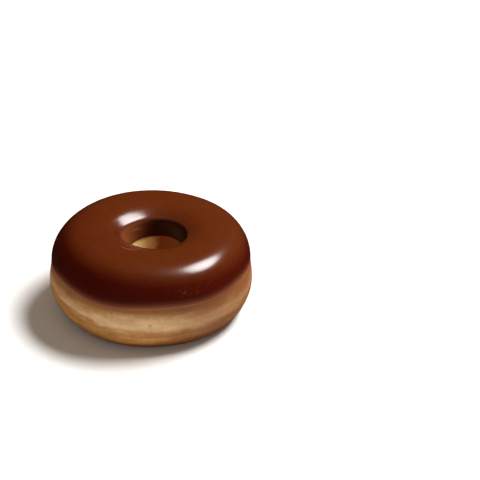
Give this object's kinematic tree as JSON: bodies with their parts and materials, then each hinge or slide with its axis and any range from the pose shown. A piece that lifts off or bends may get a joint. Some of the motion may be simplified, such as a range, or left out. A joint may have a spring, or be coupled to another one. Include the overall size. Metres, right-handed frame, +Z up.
{
  "type": "chocolate iced doughnut",
  "caption": "Fried ring of raised dough with a smooth, glossy chocolate icing over its crown, shoulders and upper hole; a sweet pastry that lies on its flat foot and is eaten by hand.",
  "frame": {"origin": "on the surface that the doughnut lies on, under the middle of its outline", "axes": "+Z up along the ring's axis, +X to the right and +Y away as seen from the front"},
  "size_m": [0.0876, 0.088, 0.0372],
  "materials": {
    "fried_dough": "soft fried crust, satin, golden brown with a paler band round the middle",
    "chocolate_icing": "set chocolate icing, smooth, with a soft gloss"
  },
  "bodies": {
    "root": {"dough_ring": "fried_dough", "chocolate_icing": "chocolate_icing"}
  },
  "joints": []
}
